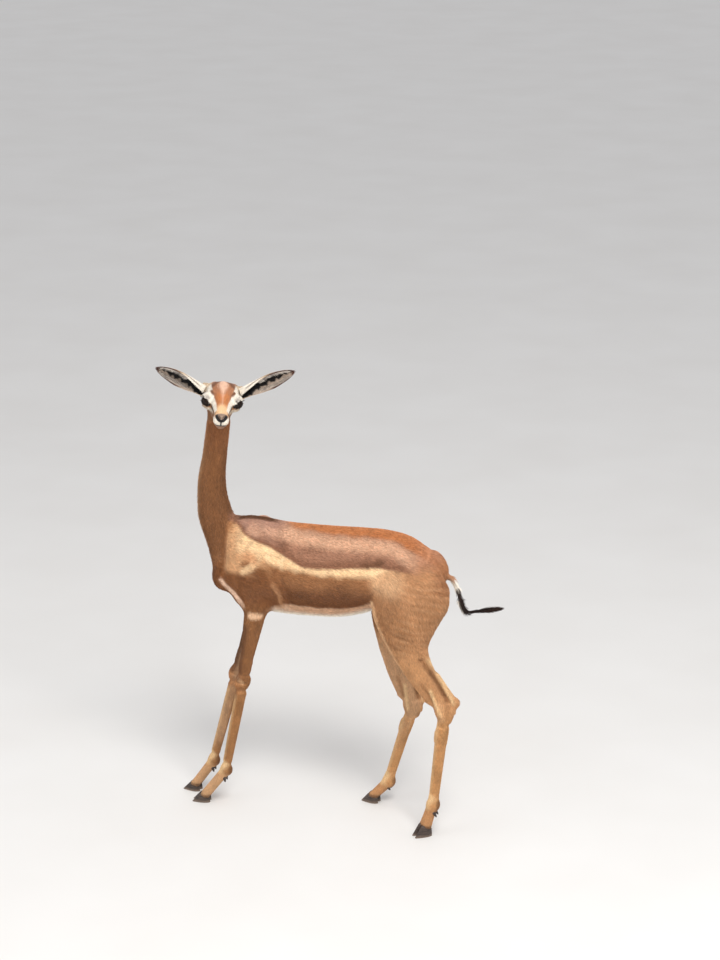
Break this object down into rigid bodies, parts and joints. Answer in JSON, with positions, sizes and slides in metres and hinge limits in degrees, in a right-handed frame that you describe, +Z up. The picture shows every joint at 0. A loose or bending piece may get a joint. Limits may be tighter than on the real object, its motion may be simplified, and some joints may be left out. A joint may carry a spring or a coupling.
{
  "type": "gerenuk model",
  "caption": "Young female gerenuk, a slender long-necked antelope, standing on its hooves with its head turned to its left, ears spread and tail kicked back.",
  "frame": {"origin": "on the floor, under the middle of the bounding box", "axes": "+Z up; the animal faces -X, and its left side faces -Y"},
  "size_m": [0.94, 0.2872, 1.2425],
  "materials": {
    "back_coat": "short flat reddish-brown fur with a dark saddle and pale belly",
    "neck_coat": "short flat brown fur",
    "face_coat": "short rufous and white fur, dark nose",
    "ear_coat": "thin ears with pale backs and dark inner hair",
    "leg_coat": "short flat tan fur",
    "horn": "dull dark horn",
    "tail_hair": "long black hair",
    "eye": "wet dark eyeball"
  },
  "bodies": {
    "root": {"torso": "back_coat", "neck": "neck_coat", "head": "face_coat", "ear_left": "ear_coat", "ear_right": "ear_coat", "eye_left": "eye", "eye_right": "eye", "tail_hanging": "tail_hair", "tail_tuft": "tail_hair", "leg_fore_left": "leg_coat", "hoof_fore_left_outer": "horn", "dewclaw_fore_left_outer": "horn", "hoof_fore_left_inner": "horn", "dewclaw_fore_left_inner": "horn", "leg_fore_right": "leg_coat", "hoof_fore_right_outer": "horn", "dewclaw_fore_right_outer": "horn", "hoof_fore_right_inner": "horn", "dewclaw_fore_right_inner": "horn", "leg_hind_left": "leg_coat", "hoof_hind_left_outer": "horn", "dewclaw_hind_left_outer": "horn", "hoof_hind_left_inner": "horn", "dewclaw_hind_left_inner": "horn", "leg_hind_right": "leg_coat", "hoof_hind_right_outer": "horn", "dewclaw_hind_right_outer": "horn", "hoof_hind_right_inner": "horn", "dewclaw_hind_right_inner": "horn"}
  },
  "joints": []
}
